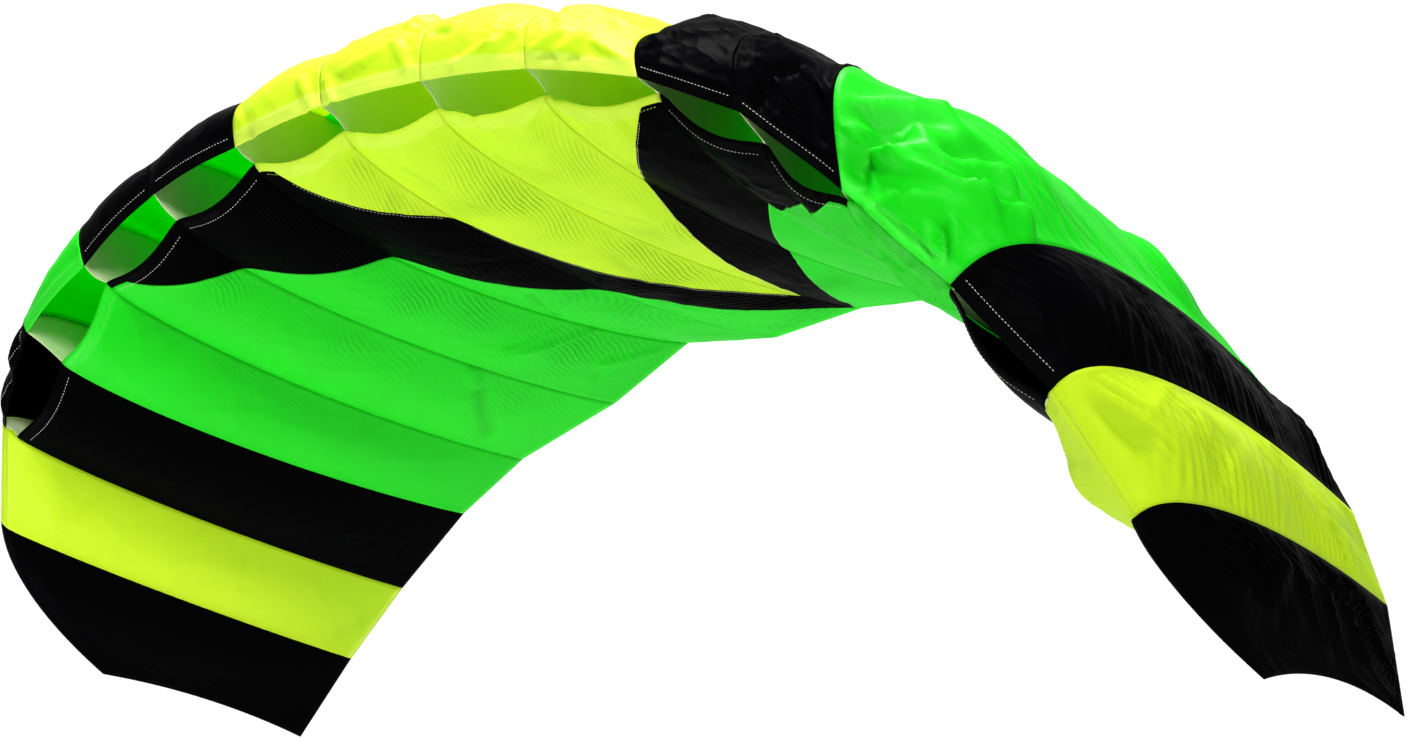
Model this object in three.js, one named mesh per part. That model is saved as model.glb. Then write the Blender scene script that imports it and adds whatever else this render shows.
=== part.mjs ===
// Ram-air trainer kite as it flies: sixteen sewn cells between an upper and a lower skin, held
// apart by white ribs, with open intakes along the nose of the twelve inner cells.
// Millimetres, +X across the span, +Y from nose to tail, +Z up.
import * as THREE from "three";

// Plan: cells across the span, and the chord that tapers with the half-span share u (0 to 1)
const CELLS = 16;
const CELL_WIDTH = 140;
const CENTRE_CHORD = 845;
const CHORD_TAPER = 0.22;      // share lost with u squared
const CHORD_TIP_TAPER = 0.17;  // share lost with u to the fourth
const NOSE_DRIFT = 15;         // nose line turned about the centre, at u = 1
const NOSE_SWEEP = 50;         // nose line swept back with u squared
const NOSE_TIP_SWEEP = 150;    // and with u to the fourth
const TIP_ROUNDING = 160;      // nose corner of each tip, rounded back by this much
const TIP_CLOSING = 1.6;       // power with which a tip cell closes to its flat edge
const LEFT_TIP_SCOOP = 10;     // hollow of each tip's bottom edge
const RIGHT_TIP_SCOOP = 22;
const TIP_SCOOP_POWER = 3;

// Arch and twist, in degrees
const ARCH_BEND = 63;
const ARCH_SWAY = 11;
const ARCH_CURL = 15;
const TOE = -2;
const TOE_SPREAD = 8.5;
const PITCH = -9.5;
const PITCH_SWAY = 2.5;
const PITCH_WASHOUT = 2.5;

// Section: heights as shares of the chord, fading towards the tips, and the powers of each curve
const CROWN_SHARE = 0.12;
const BELLY_SHARE = 0.05;
const SECTION_FADE = 0.5;
const CROWN_NOSE_POWER = 0.35;
const CROWN_TAIL_POWER = 1;
const BROW_TAIL_POWER = 5;
const BELLY_NOSE_POWER = 0.6;
const BELLY_TAIL_POWER = 0.9;

// Cloth: thickness, seams, and how far each cell swells between its ribs
const CLOTH = 1.2;
const SEAM = 0.3;
const RIB_INSET = 0.6;         // a rib's clearance from the skins, and behind the nose
const RIB_SETBACK = 1;
const RIB_NOSE = 0.006;        // chord share at which ribs start at a sewn nose
const RIB_TAIL = 0.985;        // and at which all of them stop
const UPPER_SWELL = 16;
const LOWER_SWELL = 14;
const LIP_SWELL = 0.3;         // share of the swell that an upper intake lip keeps
const SWELL_RISE = 0.1;        // chord share over which a sewn nose swells up
const SWELL_TAIL_POWER = 3;

// The centre rib's bridle point, on its lower edge, is the origin
const BRIDLE_SHARE = 0.09;

// Each rib in flight, left tip to right tip, in millimetres off the smooth arch: nose and tail along
// the span and up, how far the upper intake lip stands ahead of and above the lower one, the extra
// height of the brow behind the nose, what the crown lacks and the belly has more in depth, and the
// rake, the upper skin's run along the span for each millimetre of height.
const RIB_COLUMNS = [
  "noseOut", "noseUp", "tailOut", "tailUp", "lipAhead", "lipUp", "brow", "hollow", "sag",
  "rake",
];
const RIB_ROWS = [
  [0, 0, 0, 0, 0, 0, 0, 0, 0, 0],
  [20, 0, 0, 0, 0, 0, 0, 0, 0, 0],
  [8, 8, -5, 0, 13, 10, -10, 0, 0, 0],
  [5, -10, 0, 5, 42, 34, -10, 0, 0, 0],
  [-6, 5, -20, 5, 33, 12, 20, 0, 0, 0],
  [-6, 0, 8, -10, 29, 27, 5, 0, 0, -0.1],
  [-6, 5, 4, 14, 29, 12, 8, 0, 10, -0.1],
  [-5, -3, 0, -25, 35, 17, 16, 0, 5, -0.2],
  [-5, -5, 0, -16, 30, 22, 16, 0, 0, -0.2],
  [6, 3, 0, -13, 34, 17, 5, 0, 0, -0.4],
  [16, 20, 0, 0, 40, 4, -18, 0, 5, -0.75],
  [20, 6, 0, 0, 45, 18, 7, 0, 10, -0.85],
  [-8, -3, 0, 0, 9, 5, 61, 40, 5, -1.1],
  [-2, -7, -6, 5, 5, 3, 5, 0, 5, 0],
  [3, -6, 10, 0, 5, 10, 0, 12, 15, -0.2],
  [-2, 6, 0, 0, 0, 0, 0, 10, 15, -0.3],
  [0, 0, -7, 0, 0, 0, 0, 0, 0, 0],
];

// Colour plan, by cells and ribs counted out from the centre line
const HALF_CELLS = [
  { lower: ["yellow", "black", "green"], upper: "yellow", intake: true },
  { lower: ["yellow", "black", "green"], upper: "yellow", intake: true },
  { lower: ["black", "green"], upper: "black", intake: true },
  { lower: ["black", "green"], upper: "black", intake: true },
  { lower: ["green"], upper: "green", intake: true },
  { lower: ["black"], upper: "black", intake: true },
  { lower: ["yellow"], upper: "yellow", intake: false },
  { lower: ["black"], upper: "black", intake: false },
];
// Where the lower skin's colours end: ribs out from the centre, and the chord share there
const COLOUR_ENDS = {
  yellow: [[0, 0.84], [1, 0.23], [1.83, 0.008], [2, 0.008]],
  black: [[0, 0.98], [1, 0.58], [2, 0.28], [3, 0.13], [3.8, 0.008], [4, 0.008]],
};

// Main folds, where cloth hangs slack: a soft ridge, or a trough below zero, along a line from one
// rib station and chord share to another
const FOLDS = [
  { skin: "upper", from: [11.4, 0.1], to: [11.5, 0.6], width: 60, height: -13 },
  { skin: "upper", from: [11.85, 0.04], to: [11.85, 0.5], width: 50, height: -19 },
  { skin: "upper", from: [12.25, 0.12], to: [12.4, 0.6], width: 60, height: 25 },
  { skin: "upper", from: [12.1, 0.03], to: [12.4, 0.12], width: 40, height: -16 },
  { skin: "upper", from: [12.6, 0.03], to: [12.75, 0.2], width: 40, height: 12 },
  { skin: "upper", from: [12.6, 0.62], to: [12.6, 0.8], width: 50, height: 20 },
  { skin: "upper", from: [13.5, 0.9], to: [13.6, 1], width: 60, height: 44 },
  { skin: "lower", from: [12.2, 0], to: [12.8, 0], width: 50, height: -12 },
  { skin: "lower", from: [14.5, 0.05], to: [14.6, 0.3], width: 70, height: 12 },
  { skin: "lower", from: [15.3, 0.03], to: [15.7, 0.15], width: 60, height: -12 },
];

// Grid of each sheet
const COLUMNS = 4;
const UPPER_ROWS = 13;
const LOWER_ROWS = 10;
const LOWER_PART_ROWS = 5;
const RIB_STEP = 0.004;        // least chord share between two rows of a rib
const NOSE_CROWDING = 2;
const LIP_CROWDING = 1.5;

const FINISH = { roughness: 0.55, metalness: 0 };
const CLOTHS = {
  green: new THREE.MeshStandardMaterial({ color: 0x1fdf2b, ...FINISH }),
  yellow: new THREE.MeshStandardMaterial({ color: 0xd4f51a, ...FINISH }),
  black: new THREE.MeshStandardMaterial({ color: 0x0b0b0d, ...FINISH }),
  white: new THREE.MeshStandardMaterial({ color: 0xf2f4ee, ...FINISH }),
};

const lerp = THREE.MathUtils.lerp;
const radians = THREE.MathUtils.degToRad;

// A hump from 0 at both ends to 1 at its peak, steeper for smaller powers.
function hump(share, nosePower, tailPower) {
  const peak = nosePower / (nosePower + tailPower);
  const height = (at) => at ** nosePower * (1 - at) ** tailPower;
  return height(share) / height(peak);
}

// The arch seen from the front: each cell leans with its share of the half span, and the cells
// add up, nose to nose, from the centre rib.
function archPoints() {
  const half = CELLS / 2;
  const points = [new THREE.Vector3()];
  for (let cell = 0; cell < CELLS; cell += 1) {
    const u = (cell + 0.5 - half) / half;
    const lean = -radians(ARCH_BEND * u + ARCH_SWAY * u ** 2 + ARCH_CURL * u ** 3);
    const step = new THREE.Vector3(Math.cos(lean), 0, Math.sin(lean)).multiplyScalar(CELL_WIDTH);
    points.push(points[cell].clone().add(step));
  }
  const centre = points[half].clone();
  return points.map((point) => point.sub(centre));
}

// Every rib: its nose and tail points, its section heights, and the directions along the span and up.
function makeRibs() {
  const half = CELLS / 2;
  const arch = archPoints();
  return RIB_ROWS.map((row, rib) => {
    const own = Object.fromEntries(RIB_COLUMNS.map((name, column) => [name, row[column]]));
    const u = (rib - half) / half;
    const before = arch[Math.max(rib - 1, 0)];
    const after = arch[Math.min(rib + 1, CELLS)];
    const span = after.clone().sub(before).normalize();
    const up = new THREE.Vector3(-span.z, 0, span.x);
    const chord = CENTRE_CHORD * (1 - CHORD_TAPER * u ** 2 - CHORD_TIP_TAPER * u ** 4);
    const toe = radians(TOE + TOE_SPREAD * u);
    const pitch = radians(PITCH + PITCH_SWAY * u + PITCH_WASHOUT * u ** 2);
    const back = new THREE.Vector3(0, Math.cos(pitch), 0).addScaledVector(up, Math.sin(pitch));
    const along = back.multiplyScalar(Math.cos(toe)).addScaledVector(span, Math.sin(toe));
    const smoothNose = arch[rib].clone();
    smoothNose.y = NOSE_DRIFT * u + NOSE_SWEEP * u ** 2 + NOSE_TIP_SWEEP * u ** 4;
    const smoothTail = smoothNose.clone().addScaledVector(along, chord);
    const fade = 1 - SECTION_FADE * u ** 4;
    return {
      ...own,
      span,
      up,
      nose: smoothNose.addScaledVector(span, own.noseOut).addScaledVector(up, own.noseUp),
      tail: smoothTail.addScaledVector(span, own.tailOut).addScaledVector(up, own.tailUp),
      crown: CROWN_SHARE * chord * fade - own.hollow,
      belly: BELLY_SHARE * chord * fade + own.sag,
    };
  });
}

const ribs = makeRibs();

function cellLayout(cell) {
  const fromCentre = cell < CELLS / 2 ? CELLS / 2 - 1 - cell : cell - CELLS / 2;
  return HALF_CELLS[fromCentre];
}

// The chordwise section at a station counted in ribs: straight between two ribs, and drawn back
// and flat in the rounded tip cells.
function sectionAt(station) {
  const cell = Math.min(Math.floor(station), CELLS - 1);
  const across = station - cell;
  const [left, right] = [ribs[cell], ribs[cell + 1]];
  const between = (name) => lerp(left[name], right[name], across);
  const outer = Math.max(0, 1 - station, station - (CELLS - 1));
  const fullness = 1 - outer ** TIP_CLOSING;
  const nose = left.nose.clone().lerp(right.nose, across);
  const tail = left.tail.clone().lerp(right.tail, across);
  nose.lerp(tail, (TIP_ROUNDING * outer ** 2) / nose.distanceTo(tail));
  const chord = nose.distanceTo(tail);
  const along = tail.clone().sub(nose).divideScalar(chord);
  const span = left.span.clone().lerp(right.span, across).normalize();
  const up = span.clone().cross(along).normalize();
  return {
    nose,
    along,
    span,
    up,
    chord,
    crown: between("crown") * fullness,
    brow: between("brow") * fullness,
    belly: between("belly") * fullness,
    lipAhead: between("lipAhead"),
    lipUp: between("lipUp"),
    rake: between("rake"),
    scoop: (station < 1 ? LEFT_TIP_SCOOP : -RIGHT_TIP_SCOOP) * outer ** TIP_SCOOP_POWER,
    bulge: 4 * across * (1 - across) * fullness,
    intake: cellLayout(cell).intake,
  };
}

// The inner face of a skin in its section: distance back from the nose, and height over the chord.
function profile(skin, section, share) {
  if (skin === "upper") {
    const crown = section.crown * hump(share, CROWN_NOSE_POWER, CROWN_TAIL_POWER);
    const brow = section.brow * hump(share, CROWN_NOSE_POWER, BROW_TAIL_POWER);
    const height = SEAM / 2 + section.lipUp * (1 - share) ** 2 + crown + brow;
    return [lerp(-section.lipAhead, section.chord, share), height];
  }
  const drop = section.belly * hump(share, BELLY_NOSE_POWER, BELLY_TAIL_POWER);
  return [section.chord * share, -SEAM / 2 - drop];
}

// Outward direction of a skin in its section, from the run of the profile just before and after.
function outward(skin, section, share) {
  const reach = 0.0005;
  const before = profile(skin, section, Math.max(share - reach, 0));
  const after = profile(skin, section, Math.min(share + reach, 1));
  const run = new THREE.Vector2(after[0] - before[0], after[1] - before[1]).normalize();
  return skin === "upper" ? [-run.y, run.x] : [run.y, -run.x];
}

// Height of the main folds at a place on a skin: each falls off softly from its line.
function foldHeight(skin, station, share) {
  const flat = ([rib, part]) => new THREE.Vector3(rib * CELL_WIDTH, part * CENTRE_CHORD, 0);
  const place = flat([station, share]);
  let height = 0;
  for (const fold of FOLDS.filter((row) => row.skin === skin)) {
    const line = new THREE.Line3(flat(fold.from), flat(fold.to));
    const nearest = line.closestPointToPoint(place, true, new THREE.Vector3());
    height += fold.height * Math.exp(-((nearest.distanceTo(place) / fold.width) ** 2));
  }
  return height;
}

// Swell of a cell between its ribs, folds and all: none at the tail, none at a sewn nose, some at an
// open lip.
function swell(skin, station, share) {
  const section = sectionAt(station);
  const rise = THREE.MathUtils.smoothstep(share, 0, SWELL_RISE);
  const lip = skin === "upper" ? LIP_SWELL : 1;
  const front = section.intake ? lerp(lip, 1, rise) : rise;
  const size = skin === "upper" ? UPPER_SWELL : LOWER_SWELL;
  const fold = foldHeight(skin, station, share) * (section.intake ? 1 : rise);
  return (size * front + fold) * section.bulge * (1 - share ** SWELL_TAIL_POWER);
}

// A point of a skin, so many millimetres outside its inner face. The upper skin swells square to its
// profile and leans with the rake, the lower one hangs straight down.
function skinPoint(skin, station, share, depth) {
  const section = sectionAt(station);
  const profilePoint = profile(skin, section, share);
  const out = outward(skin, section, share);
  const swelling = swell(skin, station, share);
  const upper = skin === "upper";
  const square = upper ? depth + swelling : depth;
  const back = profilePoint[0] + out[0] * square;
  const height = profilePoint[1] + out[1] * square - (upper ? 0 : swelling);
  const lean = (upper ? height * section.rake : 0) + section.scoop * 4 * share * (1 - share);
  return section.nose
    .clone()
    .addScaledVector(section.along, back)
    .addScaledVector(section.up, height)
    .addScaledVector(section.span, lean);
}

// A thin closed sheet: two faces on a grid of rows and columns, and the rim that joins them.
// Face 1 points outwards where the columns run to the right of the rows.
function sheetGeometry(rows, columns, pointAt) {
  const positions = [];
  const index = [];
  const corner = (row, column, face) => (row * (columns + 1) + column) * 2 + face;
  const quad = (a, b, c, d) => index.push(a, b, c, a, c, d);
  for (let row = 0; row <= rows; row += 1) {
    for (let column = 0; column <= columns; column += 1) {
      for (const face of [0, 1]) {
        positions.push(...pointAt(row, column, face).toArray());
      }
    }
  }
  for (let row = 0; row < rows; row += 1) {
    for (let column = 0; column < columns; column += 1) {
      const [here, right] = [[row, column], [row, column + 1]];
      const [past, pastRight] = [[row + 1, column], [row + 1, column + 1]];
      quad(corner(...here, 1), corner(...right, 1), corner(...pastRight, 1), corner(...past, 1));
      quad(corner(...here, 0), corner(...past, 0), corner(...pastRight, 0), corner(...right, 0));
    }
    const [first, last] = [[row, 0], [row, columns]];
    const [nextFirst, nextLast] = [[row + 1, 0], [row + 1, columns]];
    quad(corner(...first, 1), corner(...nextFirst, 1), corner(...nextFirst, 0), corner(...first, 0));
    quad(corner(...nextLast, 1), corner(...last, 1), corner(...last, 0), corner(...nextLast, 0));
  }
  for (let column = 0; column < columns; column += 1) {
    const [front, frontNext] = [[0, column], [0, column + 1]];
    const [rear, rearNext] = [[rows, column], [rows, column + 1]];
    quad(corner(...frontNext, 1), corner(...front, 1), corner(...front, 0), corner(...frontNext, 0));
    quad(corner(...rear, 1), corner(...rearNext, 1), corner(...rearNext, 0), corner(...rear, 0));
  }
  const geometry = new THREE.BufferGeometry();
  geometry.setAttribute("position", new THREE.Float32BufferAttribute(positions, 3));
  geometry.setIndex(index);
  geometry.computeVertexNormals();
  return geometry;
}

// Span stations of a cell's two edges, half a seam inside its ribs, and right out at a tip.
function cellEdges(cell) {
  const inset = SEAM / 2 / CELL_WIDTH;
  const left = cell === 0 ? 0 : cell + inset;
  const right = cell === CELLS - 1 ? CELLS : cell + 1 - inset;
  return [left, right];
}

// Chord share at which a colour ends at a station: straight between the rows, alike on both sides.
function colourEnd(colour, station) {
  const out = Math.abs(station - CELLS / 2);
  const rows = COLOUR_ENDS[colour];
  const next = Math.max(1, rows.findIndex(([rib]) => rib >= out));
  const [[fromRib, fromShare], [toRib, toShare]] = [rows[next - 1], rows[next]];
  return THREE.MathUtils.mapLinear(out, fromRib, toRib, fromShare, toShare);
}

// The sheets of a cell's skins: each runs between two chord shares that may change across the cell,
// in rows that crowd towards its front.
function upperSheet(cell) {
  const [frontAt, rearAt] = [() => 0, () => 1];
  const colour = cellLayout(cell).upper;
  return { skin: "upper", colour, rows: UPPER_ROWS, crowding: NOSE_CROWDING, frontAt, rearAt };
}

function lowerSheets(cell) {
  const colours = cellLayout(cell).lower;
  const halfSeam = SEAM / 2 / CENTRE_CHORD;
  return colours.map((colour, place) => {
    const first = place === 0;
    const last = place === colours.length - 1;
    const ahead = colours[place - 1];
    const frontAt = (station) => (first ? 0 : colourEnd(ahead, station) + halfSeam);
    const rearAt = (station) => (last ? 1 : colourEnd(colour, station) - halfSeam);
    const whole = first && last;
    const rows = whole ? LOWER_ROWS : LOWER_PART_ROWS;
    const frontCrowding = whole ? NOSE_CROWDING : LIP_CROWDING;
    const crowding = first ? frontCrowding : 1;
    return { skin: "lower", colour, rows, crowding, frontAt, rearAt };
  });
}

function shareAt(sheet, station, row) {
  const along = (row / sheet.rows) ** sheet.crowding;
  return lerp(sheet.frontAt(station), sheet.rearAt(station), along);
}

// One skin panel. Its columns run right on the upper skin and left on the lower one, so that both
// face out.
function panelGeometry(sheet, cell) {
  const edges = cellEdges(cell);
  const [start, end] = sheet.skin === "upper" ? edges : edges.toReversed();
  return sheetGeometry(sheet.rows, COLUMNS, (row, column, face) => {
    const station = lerp(start, end, column / COLUMNS);
    return skinPoint(sheet.skin, station, shareAt(sheet, station, row), CLOTH * face);
  });
}

// The corners of the seam that joins some sheets to a rib, front to back, and a place on it.
function seamCorners(sheets, rib) {
  return sheets.flatMap((sheet) => {
    const shares = Array.from({ length: sheet.rows + 1 }, (_, row) => shareAt(sheet, rib, row));
    return shares.map((share) => ({ share, point: skinPoint(sheet.skin, rib, share, 0) }));
  });
}

function seamPoint(corners, share) {
  const next = Math.max(1, corners.findIndex((corner) => corner.share >= share));
  const [before, after] = [corners[next - 1], corners[next]];
  const part = (share - before.share) / (after.share - before.share);
  return before.point.clone().lerp(after.point, part);
}

// One flat rib: a plate just clear of the sheets above and below it, half its thickness to each
// side. It has a row wherever one of them has a corner.
function ribGeometry(rib) {
  const { span, lipUp } = ribs[rib];
  const { along, up } = sectionAt(rib);
  const top = seamCorners([upperSheet(rib)], rib);
  const bottoms = [rib - 1, rib].map((cell) => seamCorners(lowerSheets(cell), rib));
  const corners = [top, ...bottoms].flat().map(({ share }) => share).sort((a, b) => a - b);
  const shares = [lipUp > 0 ? 0 : RIB_NOSE];
  for (const share of corners) {
    if (share > shares.at(-1) + RIB_STEP && share < RIB_TAIL - RIB_STEP) shares.push(share);
  }
  shares.push(RIB_TAIL);
  return sheetGeometry(shares.length - 1, 1, (row, column, face) => {
    const low = bottoms.map((bottom) => seamPoint(bottom, shares[row]));
    const inner = low[0].dot(up) > low[1].dot(up) ? low[0] : low[1];
    const edge = column === 1 ? seamPoint(top, shares[row]) : inner;
    const inset = column === 1 ? -RIB_INSET : RIB_INSET;
    edge.addScaledVector(up, inset).addScaledVector(along, RIB_SETBACK);
    return edge.addScaledVector(span, CLOTH * (0.5 - face));
  });
}

const kite = new THREE.Group();

function addPiece(name, geometry, cloth) {
  const piece = new THREE.Mesh(geometry, CLOTHS[cloth]);
  piece.name = name;
  kite.add(piece);
}

const number = (count) => String(count).padStart(2, "0");

for (let cell = 0; cell < CELLS; cell += 1) {
  for (const sheet of [upperSheet(cell), ...lowerSheets(cell)]) {
    const name = `${sheet.skin}_${number(cell + 1)}_${sheet.colour}`;
    addPiece(name, panelGeometry(sheet, cell), sheet.colour);
  }
}
for (let rib = 1; rib < CELLS; rib += 1) {
  addPiece(`rib_${number(rib)}`, ribGeometry(rib), "white");
}

kite.position.copy(skinPoint("lower", CELLS / 2, BRIDLE_SHARE, 0)).negate();

export default kite;
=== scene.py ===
# %% [markdown]
# # A ram-air trainer kite in flight
# The kite is a wing of thin cloth. An upper and a lower skin are sewn to a row of white ribs, and the
# wind blows in through the open nose and holds the cells full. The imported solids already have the
# wing's shape, so each sheet here follows the same formula on a much finer grid and adds what the
# solids leave out: creases, gathers at the seams, doubled hems, stitches and the look of the cloth.

# %% Load the frame
from functools import partial
import bpy
import numpy as np
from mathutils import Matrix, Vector


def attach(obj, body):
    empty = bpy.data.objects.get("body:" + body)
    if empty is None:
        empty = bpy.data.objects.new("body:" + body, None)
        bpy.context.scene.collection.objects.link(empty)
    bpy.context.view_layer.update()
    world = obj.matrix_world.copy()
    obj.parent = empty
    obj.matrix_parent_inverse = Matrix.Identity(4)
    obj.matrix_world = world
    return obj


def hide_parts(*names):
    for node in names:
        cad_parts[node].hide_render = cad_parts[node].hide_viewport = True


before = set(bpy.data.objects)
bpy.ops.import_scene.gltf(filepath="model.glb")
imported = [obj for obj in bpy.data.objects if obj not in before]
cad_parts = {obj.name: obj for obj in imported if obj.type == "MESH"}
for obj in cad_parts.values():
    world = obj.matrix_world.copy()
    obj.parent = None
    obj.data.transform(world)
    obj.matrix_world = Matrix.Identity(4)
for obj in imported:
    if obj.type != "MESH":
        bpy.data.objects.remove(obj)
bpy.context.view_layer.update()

# %% [markdown]
# ## The wing's plan
# Seen from the front the cells lean more and more towards the tips, so the wing is an arch. Each rib
# has a nose and a tail point, and a short row of its own that says how this flight has moved it. All
# sizes are millimetres, with X along the span, Y from nose to tail and Z up.

# %% Plan, arch and section sizes
CELLS = 16
CELL_WIDTH = 140
CENTRE_CHORD = 845
CHORD_TAPER, CHORD_TIP_TAPER = 0.22, 0.17
NOSE_DRIFT, NOSE_SWEEP, NOSE_TIP_SWEEP = 15, 50, 150
TIP_ROUNDING, TIP_CLOSING = 160, 1.6
LEFT_TIP_SCOOP, RIGHT_TIP_SCOOP, TIP_SCOOP_POWER = 10, 22, 3
ARCH_BEND, ARCH_SWAY, ARCH_CURL = 63, 11, 15
TOE, TOE_SPREAD = -2, 8.5
PITCH, PITCH_SWAY, PITCH_WASHOUT = -9.5, 2.5, 2.5
CROWN_SHARE, CROWN_POWERS = 0.12, (0.35, 1)
BELLY_SHARE, BELLY_POWERS = 0.05, (0.6, 0.9)
BROW_POWERS = (0.35, 5)
SECTION_FADE = 0.5
UPPER_SWELL, LOWER_SWELL, LIP_SWELL = 16, 14, 0.3
SWELL_RISE, SWELL_TAIL_POWER = 0.1, 3
SEAM_ROUNDING = 12        # the valley at a seam is rounded over this much cloth
SEAM = 0.3
BRIDLE_SHARE = 0.09
FIRST_INTAKE, LAST_INTAKE = 2, 13  # cells with an open nose, counted from 0

RIB_COLUMNS = ["nose_out", "nose_up", "tail_out", "tail_up", "lip_ahead", "lip_up", "brow", "hollow",
               "sag", "rake"]
# A row for each rib from the left tip to the right one: millimetres, and the rake as a slope
RIB_ROWS = np.array([
    [0, 0, 0, 0, 0, 0, 0, 0, 0, 0],
    [20, 0, 0, 0, 0, 0, 0, 0, 0, 0],
    [8, 8, -5, 0, 13, 10, -10, 0, 0, 0],
    [5, -10, 0, 5, 42, 34, -10, 0, 0, 0],
    [-6, 5, -20, 5, 33, 12, 20, 0, 0, 0],
    [-6, 0, 8, -10, 29, 27, 5, 0, 0, -0.1],
    [-6, 5, 4, 14, 29, 12, 8, 0, 10, -0.1],
    [-5, -3, 0, -25, 35, 17, 16, 0, 5, -0.2],
    [-5, -5, 0, -16, 30, 22, 16, 0, 0, -0.2],
    [6, 3, 0, -13, 34, 17, 5, 0, 0, -0.4],
    [16, 20, 0, 0, 40, 4, -18, 0, 5, -0.75],
    [20, 6, 0, 0, 45, 18, 7, 0, 10, -0.85],
    [-8, -3, 0, 0, 9, 5, 61, 40, 5, -1.1],
    [-2, -7, -6, 5, 5, 3, 5, 0, 5, 0],
    [3, -6, 10, 0, 5, 10, 0, 12, 15, -0.2],
    [-2, 6, 0, 0, 0, 0, 0, 10, 15, -0.3],
    [0, 0, -7, 0, 0, 0, 0, 0, 0, 0],
], float)


def unit(v):
    """Each vector divided by its length."""
    return v / np.linalg.norm(v, axis=-1, keepdims=True)


def hump(x, powers):
    """x to one power times (1 - x) to another, divided by its own peak, so it runs 0, 1, 0."""
    a, b = powers
    peak = a / (a + b)
    return x**a * (1 - x) ** b / (peak**a * (1 - peak) ** b)


def smoothstep(x, start, end):
    """0 before start, 1 after end, and 3t^2 - 2t^3 between them."""
    t = np.clip((x - start) / (end - start), 0, 1)
    return t * t * (3 - 2 * t)


def make_ribs():
    """Noses add up cell by cell along the leaning arch; a tail lies one chord behind, toed and pitched."""
    half = CELLS / 2
    u = (np.arange(CELLS) + 0.5 - half) / half
    lean = -np.radians(ARCH_BEND * u + ARCH_SWAY * u**2 + ARCH_CURL * u**3)
    steps = CELL_WIDTH * np.stack([np.cos(lean), 0 * u, np.sin(lean)], 1)
    arch = np.concatenate([np.zeros((1, 3)), np.cumsum(steps, 0)])
    arch -= arch[CELLS // 2]
    i = np.arange(CELLS + 1)
    u = (i - half) / half
    span = unit(arch[np.minimum(i + 1, CELLS)] - arch[np.maximum(i - 1, 0)])
    up = np.stack([-span[:, 2], 0 * u, span[:, 0]], 1)
    chord = CENTRE_CHORD * (1 - CHORD_TAPER * u**2 - CHORD_TIP_TAPER * u**4)
    toe = np.radians(TOE + TOE_SPREAD * u)[:, None]
    pitch = np.radians(PITCH + PITCH_SWAY * u + PITCH_WASHOUT * u**2)[:, None]
    back = np.cos(pitch) * np.array([0, 1, 0]) + np.sin(pitch) * up
    along = np.cos(toe) * back + np.sin(toe) * span
    nose = arch + np.outer(NOSE_DRIFT * u + NOSE_SWEEP * u**2 + NOSE_TIP_SWEEP * u**4, [0, 1, 0])
    ribs = dict(zip(RIB_COLUMNS, RIB_ROWS.T))
    tail = nose + chord[:, None] * along
    fade = 1 - SECTION_FADE * u**4
    ribs["span"] = span
    ribs["nose"] = nose + ribs["nose_out"][:, None] * span + ribs["nose_up"][:, None] * up
    ribs["tail"] = tail + ribs["tail_out"][:, None] * span + ribs["tail_up"][:, None] * up
    ribs["crown"] = CROWN_SHARE * chord * fade - ribs["hollow"]
    ribs["belly"] = BELLY_SHARE * chord * fade + ribs["sag"]
    return ribs


RIBS = make_ribs()
print("ribs:", len(RIB_ROWS), "span at the noses", round(float(np.ptp(RIBS["nose"][:, 0]))), "mm")

# %% [markdown]
# ## The two skins
# Any place on a skin has two numbers: its station, counted in ribs along the span, and its share of
# the chord. A section between two ribs is mixed from them. The skin swells out between its seams, and
# a crease lifts it a little more or less, so every piece of the kite comes from one function.

# %% Section, profile and skin
MAIN_FOLDS = [
    # side, from (station, distance along the chord), to, width, height
    ("upper", (11.4, 84), (11.5, 507), 60, -13),
    ("upper", (11.85, 34), (11.85, 422), 50, -19),
    ("upper", (12.25, 101), (12.4, 507), 60, 25),
    ("upper", (12.1, 25), (12.4, 101), 40, -16),
    ("upper", (12.6, 25), (12.75, 169), 40, 12),
    ("upper", (12.6, 524), (12.6, 676), 50, 20),
    ("upper", (13.5, 760), (13.6, 845), 60, 44),
    ("lower", (12.2, 0), (12.8, 0), 50, -12),
    ("lower", (14.5, 42), (14.6, 254), 70, 12),
    ("lower", (15.3, 25), (15.7, 127), 60, -12),
]


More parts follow.
